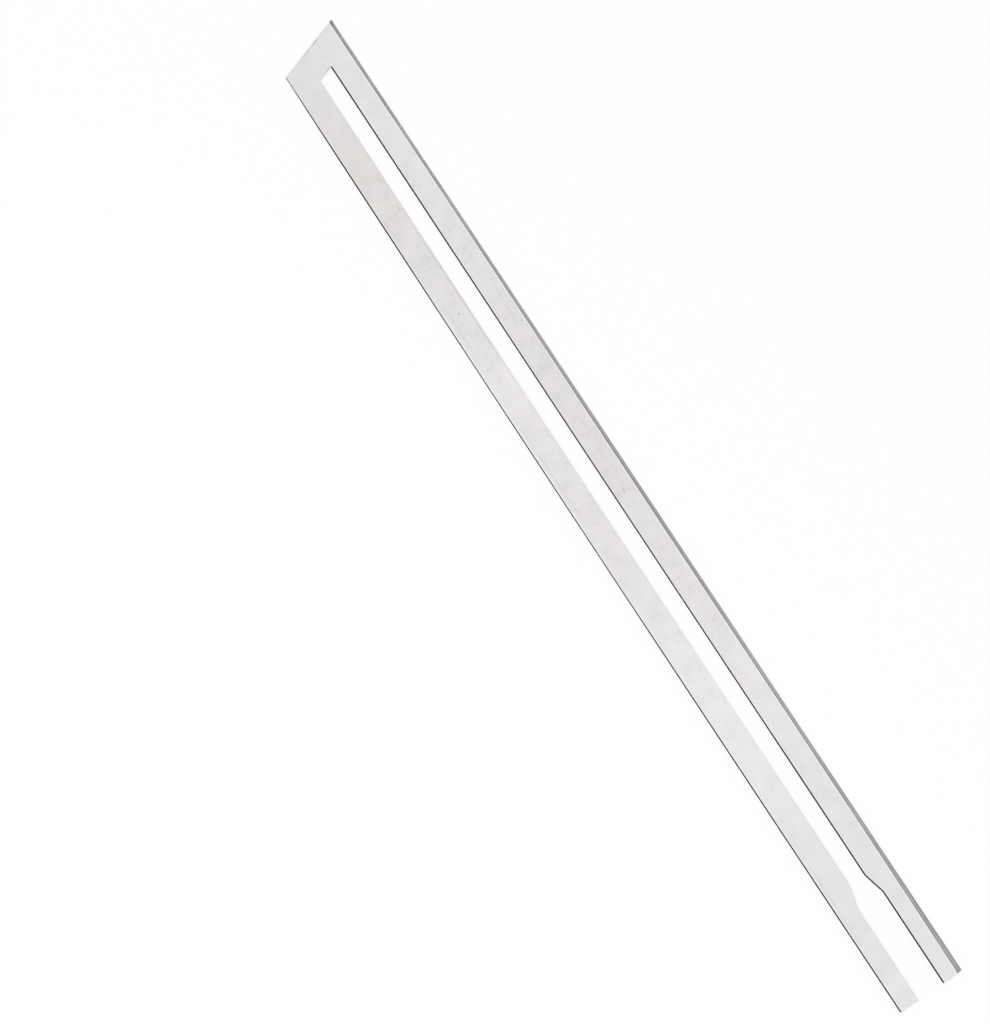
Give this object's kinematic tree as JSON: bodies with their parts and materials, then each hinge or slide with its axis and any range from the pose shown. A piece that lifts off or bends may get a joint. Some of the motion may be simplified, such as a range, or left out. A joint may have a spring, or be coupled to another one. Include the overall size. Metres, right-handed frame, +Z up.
{
  "type": "hot knife blade",
  "caption": "Flat hairpin hot knife blade with a slanted tip, a long slot open at the tang, and a cutting edge ground from both faces.",
  "frame": {"origin": "under the middle of the blade's box, on the surface it lies on", "axes": "+X along the blade to the slanted tip, -Y to the cutting edge and +Y to the spine, +Z up through the thickness"},
  "size_m": [0.3, 0.02, 0.001],
  "materials": {
    "blade_alloy": "dull pale mill finish with faint heat tint, darker ground bevel"
  },
  "bodies": {
    "root": {"blade": "blade_alloy"}
  },
  "joints": []
}
